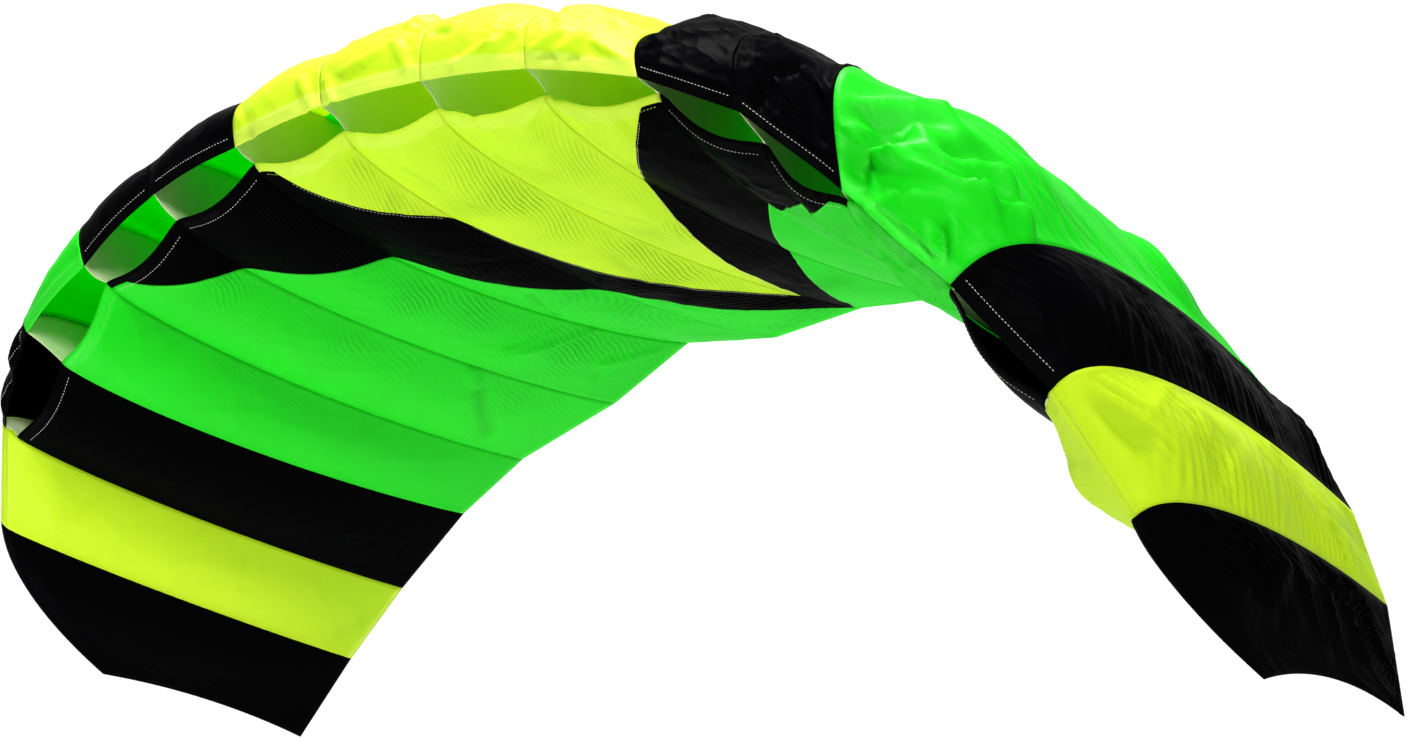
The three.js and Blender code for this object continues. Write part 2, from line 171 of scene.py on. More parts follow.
def section(station):
    """Everything about the section at a station: straight between ribs, drawn back and flat at a tip."""
    cell = np.minimum(np.floor(station).astype(int), CELLS - 1)
    across = station - cell

    def mix(name):
        """A value of the two ribs beside the station, straight between them."""
        value = RIBS[name]
        t = across if value.ndim == 1 else across[..., None]
        return value[cell] * (1 - t) + value[cell + 1] * t

    outer = np.maximum(0, np.maximum(1 - station, station - (CELLS - 1)))
    full = 1 - outer**TIP_CLOSING
    nose, tail = mix("nose"), mix("tail")
    length = np.linalg.norm(tail - nose, axis=-1)
    nose = nose + (tail - nose) * (TIP_ROUNDING * outer**2 / length)[..., None]
    chord = np.linalg.norm(tail - nose, axis=-1)
    along = (tail - nose) / chord[..., None]
    span = unit(mix("span"))
    scoop = np.where(station < 1, LEFT_TIP_SCOOP, -RIGHT_TIP_SCOOP) * outer**TIP_SCOOP_POWER
    edge = np.hypot(np.minimum(across, 1 - across), SEAM_ROUNDING / CELL_WIDTH)
    valley = 4 * SEAM_ROUNDING / CELL_WIDTH * (1 - SEAM_ROUNDING / CELL_WIDTH)
    return {
        "nose": nose, "along": along, "span": span, "up": unit(np.cross(span, along)), "chord": chord,
        "crown": mix("crown") * full, "brow": mix("brow") * full, "belly": mix("belly") * full,
        "lip_ahead": mix("lip_ahead"), "lip_up": mix("lip_up"), "rake": mix("rake"), "scoop": scoop,
        "bulge": (4 * edge * (1 - edge) - valley) / (1 - valley) * full,
        "intake": (cell >= FIRST_INTAKE) & (cell <= LAST_INTAKE),
    }


def profile(side, sec, x):
    """Distance back and height: two humps over the chord for the upper skin, one under it for the lower."""
    if side == "upper":
        height = sec["lip_up"] * (1 - x) ** 2 + sec["crown"] * hump(x, CROWN_POWERS)
        height = height + sec["brow"] * hump(x, BROW_POWERS)
        return -sec["lip_ahead"] + (sec["chord"] + sec["lip_ahead"]) * x, SEAM / 2 + height
    return sec["chord"] * x, -SEAM / 2 - sec["belly"] * hump(x, BELLY_POWERS)


def ridge(station, behind, start, end, width):
    """1 on the line between two (station, distance behind the nose), exp(-(off / width)^2) beside it."""
    place = np.stack(np.broadcast_arrays(station * CELL_WIDTH, behind), -1)
    a = np.array([start[0] * CELL_WIDTH, start[1]])
    b = np.array([end[0] * CELL_WIDTH, end[1]])
    t = np.clip((place - a) @ (b - a) / ((b - a) @ (b - a)), 0, 1)
    distance = np.linalg.norm(place - a - t[..., None] * (b - a), axis=-1)
    return np.exp(-((distance / width) ** 2))


def skin(side, station, x, depth=0.0, crease=0.0):
    """Profile point, moved out by the cloth's depth and the cell's swell and leaned by the rake."""
    station, x = np.broadcast_arrays(np.asarray(station, float), np.asarray(x, float))
    sec = section(station)
    back, height = profile(side, sec, x)
    step = 5e-4
    b0, h0 = profile(side, sec, np.maximum(x - step, 0))
    b1, h1 = profile(side, sec, np.minimum(x + step, 1))
    run = unit(np.stack([b1 - b0, h1 - h0], -1))
    rise = smoothstep(x, 0, SWELL_RISE)
    upper = side == "upper"
    lip = LIP_SWELL if upper else 1
    front = np.where(sec["intake"], lip + (1 - lip) * rise, rise)
    fold = sum(h * ridge(station, x * CENTRE_CHORD, a, b, w) for s, a, b, w, h in MAIN_FOLDS if s == side)
    fold = fold * np.where(sec["intake"], 1, rise)
    swell = ((UPPER_SWELL if upper else LOWER_SWELL) * front + fold) * sec["bulge"]
    swell = swell * (1 - x**SWELL_TAIL_POWER) + crease
    if upper:
        back, height = back - run[..., 1] * (depth + swell), height + run[..., 0] * (depth + swell)
    else:
        back, height = back + run[..., 1] * depth, height - run[..., 0] * depth - swell
    lean = (height * sec["rake"] if upper else 0) + sec["scoop"] * 4 * x * (1 - x)
    parts = [(back, sec["along"]), (height, sec["up"]), (lean, sec["span"])]
    return sec["nose"] + sum(size[..., None] * way for size, way in parts) - ORIGIN


def cloth_length(points, axis):
    """Distance along one way of a grid, added up from its start."""
    steps = np.linalg.norm(np.diff(points, axis=axis), axis=-1)
    pad = [(1, 0), (0, 0)] if axis == 0 else [(0, 0), (1, 0)]
    return np.pad(np.cumsum(steps, axis=axis), pad)


SAMPLES = 500             # chord shares at which a length along the cloth is added up


def chord_shares(first=0.0, last=1.0, samples=SAMPLES):
    """Squares of even steps from one chord share to another, which lie close at the sharp nose."""
    return np.linspace(np.sqrt(first), np.sqrt(last), samples)[:, None] ** 2


def behind_nose(side, station, x):
    """Distance along the cloth from the nose edge, for columns of chord shares at their stations."""
    shares = chord_shares()
    run = cloth_length(skin(side, station, shares), 0)
    return np.stack([np.interp(x[:, k], shares[:, 0], run[:, k]) for k in range(x.shape[1])], 1)


# The origin is the centre rib's bridle point, worked out once from an origin of 0
ORIGIN = np.zeros(3)
ORIGIN = skin("lower", CELLS / 2, BRIDLE_SHARE)
print("origin, off the centre rib's smooth lip:", np.round(ORIGIN, 1))

# %% [markdown]
# ## Creases and gathers
# Thin coated cloth keeps a crease where it was packed, and a sewn seam is a little shorter than the
# cloth beside it, so the cloth gathers there in small waves. The large creases are listed one by one
# from how this wing flies. The small ones are short soft ridges with a fixed seed, taller where a
# cell is slack. All of them die out at the seams, so that neighbouring panels still meet. The
# gathers also leave the intake lips smooth, because a hem is stiff.

# %% Crease tables
CREASES = [
    # side, from (station, distance behind the nose), to, width, height
    ("upper", (2.15, 10), (2.45, 60), 9, 6),
    ("upper", (2.4, 5), (2.7, 70), 8, -6),
    ("upper", (2.6, 20), (2.95, 60), 8, 6),
    ("upper", (2.3, 70), (2.7, 110), 9, 5),
    ("upper", (2.75, 5), (2.9, 40), 6, -5),
    ("upper", (6.05, 48), (6.17, 16), 6, 4),
    ("upper", (6.06, 59), (6.21, 2), 6, -4),
    ("upper", (6.81, 46), (6.92, 2), 6, 5),
    ("upper", (7.08, 34), (7.13, 0), 5, 5),
    ("upper", (7.3, 36), (7.63, 51), 8, 4),
    ("upper", (7.75, 61), (7.92, 15), 7, 5),
    ("upper", (7.8, 95), (7.93, 110), 7, 9),
    ("upper", (8.1, 66), (8.24, 61), 7, -5),
    ("upper", (8.38, 13), (8.72, 31), 7, 5),
    ("upper", (8.72, 31), (8.93, 54), 7, 5),
    ("upper", (9.1, 16), (9.52, 16), 4, -3.5),
    ("upper", (9.1, 20), (9.38, 58), 7, 5),
    ("upper", (9.36, 19), (9.74, 72), 7, 5),
    ("upper", (9.68, 40), (9.92, 21), 6, 5),
    ("upper", (9.25, 118), (9.5, 125), 12, 4),
    ("upper", (9.75, 97), (9.9, 98), 7, -6),
    ("upper", (10.15, 60), (10.79, 106), 9, 5),
    ("upper", (10.29, 25), (10.9, 25), 7, 3.5),
    ("upper", (11.28, 86), (11.65, 58), 8, 8),
    ("upper", (11.22, 29), (11.53, 116), 8, -8),
    ("upper", (11.63, 111), (11.92, 101), 7, 8),
    ("upper", (11.45, 28), (11.9, 32), 7, 6.5),
    ("upper", (12.12, 33), (12.3, 107), 12, -16),
    ("upper", (12.11, 74), (12.29, 112), 6, 10),
    ("upper", (12.25, 62), (12.43, 69), 7, 14),
    ("upper", (12.43, 69), (12.81, 84), 7, 14),
    ("upper", (12.81, 84), (12.93, 119), 7, 12),
    ("upper", (12.25, 64), (12.55, 98), 7, 8),
    ("upper", (12.17, 116), (12.42, 170), 7, 12),
    ("upper", (12.2, 100), (12.42, 150), 12, -10),
    ("upper", (12.42, 118), (12.61, 98), 8, 8),
    ("upper", (12.6, 102), (12.62, 166), 9, -14),
    ("upper", (12.62, 102), (12.77, 132), 8, 12),
    ("upper", (12.77, 132), (12.93, 110), 7, 10),
    ("upper", (12.28, 5), (12.86, 80), 12, 10),
    ("upper", (12.93, 8), (12.74, 22), 5, 8),
    ("upper", (12.93, 10), (12.77, 38), 5, -8),
    ("upper", (12.93, 14), (12.82, 48), 5, 8),
    ("upper", (12.18, 14), (12.9, 12), 4, -4),
    ("upper", (14.08, 3), (14.54, 51), 14, -7),
    ("upper", (14.36, 18), (14.55, 3), 8, 7),
    ("upper", (14.09, 5), (14.7, 15), 9, 7),
    ("upper", (14.38, 223), (14.7, 162), 16, -4),
    ("upper", (15.35, 45), (15.51, 70), 8, 7),
    ("upper", (15.51, 70), (15.59, 114), 8, 7),
    ("upper", (15.25, 236), (15.59, 114), 9, 7),
    ("upper", (15.28, 273), (15.74, 227), 8, 5.5),
    ("upper", (15.31, 340), (15.72, 290), 8, 5.5),
    ("upper", (15.36, 395), (15.67, 375), 8, 5.5),
    ("lower", (4.96, 519), (4.79, 567), 7, 5),
    ("lower", (4.79, 567), (4.26, 676), 9, -5),
    ("lower", (5.4, 520), (5.85, 570), 5, 4),
    ("lower", (5.28, 517), (5.95, 634), 6, 5),
    ("lower", (5.55, 707), (5.85, 790), 7, 5),
    ("lower", (6.5, 422), (6.05, 545), 5, -4),
    ("lower", (6.65, 13), (6.87, 10), 5, 3),
    ("lower", (7.08, 4), (7.1, 78), 6, 3),
    ("lower", (7.21, 20), (7.29, 50), 6, 3),
    ("lower", (8.08, 4), (8.2, 45), 6, 3.5),
    ("lower", (8.35, 2), (8.43, 30), 6, 3),
    ("lower", (8.93, 6), (8.7, 30), 6, 3.5),
    ("lower", (9.08, 4), (9.12, 60), 6, 3.5),
    ("lower", (9.1, 4), (9.4, 30), 6, 3.5),
    ("lower", (9.56, 16), (9.62, 79), 7, 3.5),
    ("lower", (11.42, 71), (11.66, 128), 7, 4),
    ("lower", (11.48, 104), (11.54, 149), 7, -4),
    ("lower", (12.05, 0), (12.95, 0), 15, -5),
    ("lower", (12.92, 20), (12.04, 25), 6, 5.5),
    ("lower", (12.92, 24), (12.13, 40), 6, -5.5),
    ("lower", (12.92, 22), (12.26, 57), 6, 5.5),
    ("lower", (12.9, 60), (12.1, 100), 8, 5.5),
]
# How slack each cell is, left to right, as a factor on its small creases
SLACK = [1.2, 0.8, 0.8, 0.9, 1.0, 1.2, 1.4, 1.6, 1.6, 1.8, 2.2, 2.6, 2.6, 1.8, 1.8, 2.4]
SMALL_CREASES = 26        # on each skin of a cell
SMALL_LENGTH, SMALL_WIDTH, SMALL_HEIGHT = (40, 190), (5, 11), (0.3, 1.0)  # least and most
SMALL_TURN = 0.7          # spread of their directions about the chord, radians
SMALL_MARGIN = 0.05       # share of the cell's width between their starts and a seam
SMALL_START = 5           # least distance of their starts behind the nose
FIRST_SEED = 100
SEAM_CALM = 12            # distance from a seam at which creases have their full height
END_CALM = 0.03           # chord share over which they grow from the tail or a sewn nose
print("creases:", len(CREASES), "by hand and", SMALL_CREASES * CELLS * 2, "small ones")

# %% Gather tables and the gathers
# How much each seam gathers its cloth, left tip to right tip, and how far out the gathers stand highest
GATHERS = {
    "upper": [1, 0.8, 0.8, 0.8, 0.9, 1, 1.6, 1.8, 2, 2.2, 1.8, 1.6, 1.2, 2.6, 3.2, 5, 1],
    "lower": [0.4, 0.4, 0.4, 0.4, 0.6, 1.2, 2.4, 2.6, 3.4, 1.6, 0.8, 0.6, 0.8, 1, 0.6, 0.6, 0.4],
}
GATHER_REACH = [12, 12, 12, 12, 13, 15, 18, 15, 15, 20, 15, 15, 15, 20, 26, 28, 12]
GATHER_LENGTH = 18        # wave length along the seam
GATHER_LEAN = 0.6         # drift of a gather along the seam for each millimetre away from it
GATHER_HEIGHT = {"upper": 0.8, "lower": 0.2}
GATHER_SHIFT = 6          # largest start of a seam's waves, radians
GATHER_DRIFT = [(3, 47), (1.6, 19)]  # swings of the waves in radians, and a length for each
LONG_PATCHES = (0.3, 1.0, 90)        # least and most strength along a seam, and a length
SHORT_PATCHES = (0.5, 1.0, 33)
REACH_SWING = (0.6, 1.3, 53)         # the same for how far out the gathers stand
LOWER_REACH = 1.6         # how much further out from its seams the lower skin gathers
LEFT_GATHER = 0.4         # strength of its gathers beside a cell's left seam, against the right one
LIP_CALM = (20, 60)       # distance behind an intake lip at which the gathers start and are full
FULL_GATHER = {"upper": 9, "lower": 2.2}  # strength at which the fine gathers of the cloth show in full
FINE_LEAN = {"upper": 0.6, "lower": 3}    # drift of a fine gather along its seam for each millimetre across


def uneven(behind, least, most, length, shift):
    """A factor that swings between two values along a seam, as the square of a sine."""
    return least + (most - least) * np.sin(behind / length + shift) ** 2


def gathers(side, cell, across, behind, phase):
    """Waves along both seams, tallest a little way out from them, and how strongly the cloth is drawn in."""
    height, drawn = np.zeros(behind.shape), np.zeros(behind.shape)
    lower = side == "lower"
    left = (cell, across, phase[0], LEFT_GATHER if lower else 1)
    right = (cell + 1, CELL_WIDTH - across, phase[1], 1)
    for rib, edge, shift, share in (left, right):
        turn = 2 * np.pi * (behind - GATHER_LEAN * edge) / GATHER_LENGTH + shift
        for k, (size, length) in enumerate(GATHER_DRIFT):
            turn = turn + size * np.sin(behind / length + (k + 1) * shift)
        patches = uneven(behind, *LONG_PATCHES, shift) * uneven(behind, *SHORT_PATCHES, 2 * shift)
        far = GATHER_REACH[rib] * (LOWER_REACH if lower else 1) * uneven(behind, *REACH_SWING, 3 * shift)
        strength = share * GATHERS[side][rib] * patches * edge / far * np.exp(1 - edge / far)
        height = height + GATHER_HEIGHT[side] * strength * np.sin(turn)
        drawn = drawn + strength
    calm = smoothstep(behind, *LIP_CALM)
    return height * calm, drawn * calm


print("ribs that gather most:", {side: int(np.argmax(row)) for side, row in GATHERS.items()})

# %% Height of the creases
def crease_height(side, station, x):
    """Listed ridges and ridges by seed plus gathers, 0 at seams, tail and sewn nose, and the gathers'
    strength.
    """
    cell = int(min(np.floor(station.mean()), CELLS - 1))
    rng = np.random.default_rng(FIRST_SEED + cell + CELLS * (side == "upper"))
    across = (station - cell) * CELL_WIDTH
    behind = behind_nose(side, station, x)
    height = np.zeros(x.shape)
    for s, a, b, width, size in CREASES:
        if s == side and int(a[0]) == cell:
            height = height + size * ridge(station, behind, a, b, width)
    for _ in range(SMALL_CREASES):
        start = [cell + rng.uniform(SMALL_MARGIN, 1 - SMALL_MARGIN), rng.uniform(SMALL_START, CENTRE_CHORD)]
        turn, length = rng.normal(0, SMALL_TURN), rng.uniform(*SMALL_LENGTH)
        end = [start[0] + length * np.sin(turn) / CELL_WIDTH, start[1] + length * np.cos(turn)]
        size = rng.uniform(*SMALL_HEIGHT) * rng.choice([-1, 1]) * SLACK[cell]
        height = height + size * ridge(station, behind, start, end, rng.uniform(*SMALL_WIDTH))
    waves, drawn = gathers(side, cell, across, behind, rng.uniform(0, GATHER_SHIFT, 2))
    intake = FIRST_INTAKE <= cell <= LAST_INTAKE
    ends = smoothstep(1 - x, 0, END_CALM) * (1 if intake else smoothstep(x, 0, END_CALM))
    mask = smoothstep(np.minimum(across, CELL_WIDTH - across), 0, SEAM_CALM) * ends
    return (height + waves) * mask, drawn * mask


print("tallest crease by hand:", max(abs(crease[-1]) for crease in CREASES), "mm")

# %% [markdown]
# ## A sheet of cloth
# Every panel and rib is a grid of points, so one function makes them all. It joins the points into
# quads and lets Solidify give the cloth its thickness. The UV map is the flat cloth in metres, so that
# the weave keeps its real size. Attributes mark the doubled hems and seams, the troughs, how crumpled
# the cloth is, and where and which way a seam draws it into gathers. The troughs and the gathers get
# a painted shade from them.

# %% The grid of a sheet as a mesh
CLOTH_THICKNESS = 0.6
LEAST_FILL = 0.5          # share of its rectangle that a slanting panel fills
MARKS = ("hem", "seam", "crinkle", "trough", "gather", "pleat")


def sheet_object(name, points, uv, marks):
    """Joins a grid of points (rows, columns, 3) in millimetres into quads and gives it a thickness."""
    rows, columns = points.shape[:2]
    index = np.arange(rows * columns).reshape(rows, columns)
    quads = np.stack([index[:-1, :-1], index[:-1, 1:], index[1:, 1:], index[1:, :-1]], -1).reshape(-1, 4)
    mesh = bpy.data.meshes.new(name)
    mesh.vertices.add(rows * columns)
    mesh.vertices.foreach_set("co", (points / 1000).astype(np.float32).ravel())
    mesh.loops.add(quads.size)
    mesh.loops.foreach_set("vertex_index", quads.ravel().astype(np.int32))
    mesh.polygons.add(len(quads))
    mesh.polygons.foreach_set("loop_start", np.arange(0, quads.size, 4, dtype=np.int32))
    mesh.update(calc_edges=True)
    layer = mesh.uv_layers.new(name="cloth")
    layer.data.foreach_set("uv", (uv.reshape(-1, 2)[quads.ravel()] / 1000).astype(np.float32).ravel())
    for mark in MARKS:
        attribute = mesh.attributes.new(mark, "FLOAT", "POINT")
        attribute.data.foreach_set("value", marks[mark].astype(np.float32).ravel())
    mesh.polygons.foreach_set("use_smooth", np.ones(len(quads), bool))
    piece = bpy.data.objects.new(name, mesh)
    bpy.context.scene.collection.objects.link(piece)
    wall = piece.modifiers.new("cloth", "SOLIDIFY")
    wall.thickness = CLOTH_THICKNESS / 1000
    wall.offset = 0
    return piece


def sheet_facts(piece, points):
    """A sheet's area and its cut, its longest way by a width that holds the area; attaches it to the root.
    """
    crossed = np.cross(points[1:, 1:] - points[:-1, :-1], points[1:, :-1] - points[:-1, 1:])
    area = np.linalg.norm(crossed, axis=-1).sum() / 2
    across, down = cloth_length(points, 1)[:, -1], cloth_length(points, 0)[-1]
    length = max(across.max(), down.max())
    width = np.clip(min(across.min(), down.max()), area / length, area / length / LEAST_FILL)
    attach(piece, "root")
    return width, length, area


print("a sheet is", CLOTH_THICKNESS, "mm thick and carries", len(MARKS), "attributes")

# %% [markdown]
# ## The colour plan
# Each cell has its colour, the same on both sides of the centre rib, so half of the plan is enough.
# The lower panels of the middle cells also change colour from nose to tail, along slanting joins that
# make a chevron. A join is a short table of chord shares, straight between its rows.

# %% Colours of the cells and where they end
# From the centre rib out to a tip, and on the lower skin also from nose to tail
HALF_LOWER = [["yellow", "black", "green"], ["yellow", "black", "green"], ["black", "green"],
              ["black", "green"], ["green"], ["black"], ["yellow"], ["black"]]
HALF_UPPER = ["yellow", "yellow", "black", "black", "green", "black", "yellow", "black"]
# Where the lower skin's colours end: ribs out from the centre, and the chord share there
COLOUR_ENDS = {
    "yellow": [(0, 0.84), (1, 0.23), (1.83, 0.008), (2, 0.008)],
    "black": [(0, 0.98), (1, 0.58), (2, 0.28), (3, 0.13), (3.8, 0.008), (4, 0.008)],
}
# Cells, counted from 0, whose upper panel turns green behind a band at the nose, and the chord share there
NOSE_BAND = {4: 0.07, 5: 0.07, 6: 0.2, 9: 0.3, 10: 0.3, 11: 0.3}


def colour_end(colour, station):
    """Chord share at which a colour ends, straight between the rows of its table."""
    ribs_out, shares = np.array(COLOUR_ENDS[colour]).T
    return np.interp(np.abs(station - CELLS / 2), ribs_out, shares)


def nose_edge(station):
    """Chord share 0 at every station."""
    return 0 * station


def tail_edge(station):
    """Chord share 1 at every station."""
    return 0 * station + 1


def out_from_centre(cell):
    """Cells counted from 0 at either side of the centre rib."""
    return CELLS // 2 - 1 - cell if cell < CELLS // 2 else cell - CELLS // 2


def lower_cuts(cell):
    """(colour, front edge, rear edge) of each panel of a lower skin, the edges as functions of station."""
    colours = HALF_LOWER[out_from_centre(cell)]
    edges = [nose_edge, *[partial(colour_end, colour) for colour in colours[:-1]], tail_edge]
    return list(zip(colours, edges[:-1], edges[1:]))


print("lower panels:", sum(len(lower_cuts(cell)) for cell in range(CELLS)), "and upper panels:", CELLS)

# %% [markdown]
# ## Cutting the panels
# Rows of a panel's grid run from the nose back and columns across the cell. The rows are spaced evenly
# along the cloth and not along the chord, because the nose turns sharply, and a slack cell has finer
# columns, because its creases are narrow. An open lip and the tail have a doubled hem, and a lower
# panel rises to meet the upper one where the nose is sewn shut.

# %% Rows, hems and sewn noses
ROW_STEP, LEAST_ROWS = 4.5, 4
ROW_SAMPLES = 600         # chord shares from which the rows are placed
FIRM_COLUMN, SLACK_COLUMN = 7, 4.5  # column step of a taut and of a creased cell
TAUT = 1.3                # slackness below which a cell counts as taut
SEAM_EPSILON = 1e-9       # keeps the last column of a cell from counting as the next one
CLOTH_DEPTH = 0.6         # middle of the cloth, outside the skin's inner face
HEM, TAIL_HEM = 20, 12    # doubled edges of an intake lip and of the tail
HEM_FADE = 2              # half of the width over which they end
LIP_HEM = {"upper": 1, "lower": 0.4}  # how clearly the lips' hems show
HEM_LIFT = 0.5
SEAM_ALLOWANCE = 6        # cloth folded in at a seam, which shows through as a darker strip
SEAM_FADE = 3
NOSE_CLOSING = 0.03       # chord share over which a lower panel rises to meet a sewn nose
TAIL_SEAM, NOSE_SEAM = 0.012, 0.0005  # chord shares over which the cloth's depth grows from a sewn end
CRINKLE_REACH = 180       # distance behind the nose over which the fine crinkles die down
CRINKLE_LEAST = 0.4       # what is left of them further back
TROUGH_SHADE_DEPTH = 2.5        # a crease sunk this far in has its full painted shade


def even_rows(side, station, front, rear):
    """Chord shares of rows from front to rear, even along the cloth of the middle column."""
    shares = chord_shares(samples=ROW_SAMPLES)
    first, last = front(station), rear(station)
    run = cloth_length(skin(side, station, first + (last - first) * shares), 0)
    rows = max(LEAST_ROWS, round(run[-1].max() / ROW_STEP))
    middle = run[:, (station.shape[1] - 1) // 2]
    even = np.interp(np.linspace(0, middle[-1], rows + 1), middle, shares[:, 0])[:, None]
    return first + (last - first) * even


def doubled_hem(side, intake, x, down):
    """How clearly a doubled hem shows: along an open lip and along the tail, 0 elsewhere."""
    hem = np.zeros(x.shape)
    if intake and np.all(x[0] == 0):
        hem = LIP_HEM[side] * (1 - smoothstep(down, HEM - HEM_FADE, HEM + HEM_FADE))
    if np.all(x[-1] == 1):
        from_tail = down[-1] - down
        hem = np.maximum(hem, 1 - smoothstep(from_tail, TAIL_HEM - HEM_FADE, TAIL_HEM + HEM_FADE))
    return hem


def nose_closing(station, x):
    """The gap between the two nose edges, fading out behind them, for a lower panel with a sewn nose."""
    gap = skin("upper", station, 0 * station) - skin("lower", station, 0 * station)
    return gap * (1 - smoothstep(x, 0, NOSE_CLOSING))[..., None]


print("rows every", ROW_STEP, "mm, with hems of", HEM, "and", TAIL_HEM, "mm")

# %% Cut every panel
def cut_panel(side, cell, colour, front, rear):
    """A panel from its front to its rear edge: skin points with depth, hem and creases, and their marks."""
    name = f"{side}_{cell + 1:02d}_{colour}"
    columns = round(CELL_WIDTH / (FIRM_COLUMN if SLACK[cell] < TAUT else SLACK_COLUMN))
    station = np.linspace(cell, cell + 1, columns + 1)[None, :].clip(cell, cell + 1 - SEAM_EPSILON)
    station = station if side == "upper" else station[:, ::-1]
    x = even_rows(side, station, front, rear)
    intake = FIRST_INTAKE <= cell <= LAST_INTAKE
    down = cloth_length(skin(side, station, x), 0)
    hem = doubled_hem(side, intake, x, down)
    sewn = smoothstep(1 - x, 0, TAIL_SEAM) * (1 if intake else smoothstep(x, 0, NOSE_SEAM))
    crease, drawn = crease_height(side, station, x)
    points = skin(side, station, x, (CLOTH_DEPTH + HEM_LIFT * hem) * sewn, crease)
    if side == "lower" and not intake:
        points = points + nose_closing(station, x)
    across = (station - cell) * CELL_WIDTH
    edge = np.minimum(across, CELL_WIDTH - across)
    seam = 1 - smoothstep(edge, SEAM_ALLOWANCE - SEAM_FADE, SEAM_ALLOWANCE + SEAM_FADE)
    near_nose = np.exp(-behind_nose(side, station, x) / CRINKLE_REACH)
    marks = {
        "hem": hem,
        "seam": np.broadcast_to(seam, x.shape),
        "crinkle": SLACK[cell] / max(SLACK) * (CRINKLE_LEAST + (1 - CRINKLE_LEAST) * near_nose),
        # How far a crease sinks and how strongly a seam gathers: these also set the painted shade in the
        # material
        "trough": np.clip(-crease / TROUGH_SHADE_DEPTH, 0, 1),
        "gather": np.clip(drawn / FULL_GATHER[side], 0, 1),
        "pleat": (down + FINE_LEAN[side] * across) / 1000,
    }
    uv = np.stack(np.broadcast_arrays(station * CELL_WIDTH, down), -1)
    piece = sheet_object(f"{name}_cloth", points, uv, marks)
    width, length, area = sheet_facts(piece, points)
    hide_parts(name)
    band = NOSE_BAND.get(cell, 1) if side == "upper" else 1
    piece.data.polygons.foreach_set("material_index", (x[:-1, :-1] >= band).astype(np.int32).ravel())
    print(f"{piece.name}: flat {width:.0f} x {length:.0f} mm, {area / 1e6:.3f} m2")
    return {"piece": piece, "cell": cell, "colours": [colour, "green"] if band < 1 else [colour]}


panels = []
for cell in range(CELLS):
    panels.append(cut_panel("upper", cell, HALF_UPPER[out_from_centre(cell)], nose_edge, tail_edge))
    panels += [cut_panel("lower", cell, *cut) for cut in lower_cuts(cell)]
print("panels:", len(panels))

# %% [markdown]
# ## Ribs
# A rib is a flat piece of white cloth with the wing's section for an outline. It is sewn between the
# two skins and shows in the open mouths, so it is a grid between the lower and the upper seam line
# with a faint slackness in the middle.

# %% Cut every rib
RIB_NOSE, RIB_TAIL = 0.0036, 0.985    # chord shares at which a rib starts, where its nose is shut, and ends
RIB_SETBACK = 1.0         # behind the lips
RIB_ROW_STEP, RIB_STRIPS = 1.5 * ROW_STEP, 14
RIB_GAP = 0.003           # share of its height left free at each seam
RIB_HEIGHT = 100          # of its flat cloth on the UV map
RIB_SLACK = 4.0
RIB_WAVES = [(1, 7, 1), (0.5, 17, 3)]  # size, waves along the chord, and shift from rib to rib
RIB_CALM = 0.2            # chord share over which the slackness dies out at the tail
RIB_CRINKLE = 0.3


def cut_rib(rib):
    """Points straight between the two seam lines, pushed sideways by a soft wave that is 0 at the seams."""
    shares = chord_shares(0 if RIBS["lip_up"][rib] > 0 else RIB_NOSE, RIB_TAIL, ROW_SAMPLES)
    run = cloth_length(skin("upper", float(rib), shares), 0)[:, 0]
    rows = round(run[-1] / RIB_ROW_STEP)
    x = np.interp(np.linspace(0, run[-1], rows + 1), run, shares[:, 0])[:, None]
    low, high = skin("lower", float(rib), x), skin("upper", float(rib), x)
    v = np.linspace(RIB_GAP, 1 - RIB_GAP, RIB_STRIPS + 1)[None, :]
    along = section(np.array(float(rib)))["along"]
    points = low + (high - low) * v[..., None] + RIB_SETBACK * along
    wave = sum(size * np.sin(count * x + shift * rib) for size, count, shift in RIB_WAVES)
    slack = RIB_SLACK * np.sin(np.pi * v) * wave * smoothstep(1 - x, 0, RIB_CALM)
    points = points + slack[..., None] * RIBS["span"][rib]
    name = f"rib_{rib:02d}"
    uv = np.stack(np.broadcast_arrays(v * RIB_HEIGHT, x * CENTRE_CHORD), -1)
    marks = {mark: np.zeros(points.shape[:2]) for mark in MARKS}
    marks["crinkle"] += RIB_CRINKLE
    piece = sheet_object(f"{name}_cloth", points, uv, marks)
    sheet_facts(piece, points)
    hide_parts(name)
    return piece


rib_pieces = [cut_rib(rib) for rib in range(1, CELLS)]
print("ribs:", len(rib_pieces), "white sheets")

# %% [markdown]
# ## Stitches
# The hems and the joins between colours are sewn with white thread on the black cloth and with a
# thread of much the same tone on the bright ones. A row of stitches is a line of small spindles, each
# with six corners, laid along a path on the skin. Thread is 0.3 mm thick, which is too fine to show
# here, so the stitches are drawn a little stouter.

# %% A row of stitches
STITCH_PITCH, STITCH_LENGTH, STITCH_WIDTH = 4.5, 3.2, 0.8
STITCH_LIFT = 0.4         # of the path above the hem
STITCH_RISE = 0.6         # of a stitch's middle above the path, as a share of half its width


def share_behind(side, station, distance):
    """Chord share at a distance along the cloth behind the nose edge, for each station."""
    shares = chord_shares()
    run = cloth_length(skin(side, station[None, :], shares), 0)
    return np.array([np.interp(distance, column, shares[:, 0]) for column in run.T])


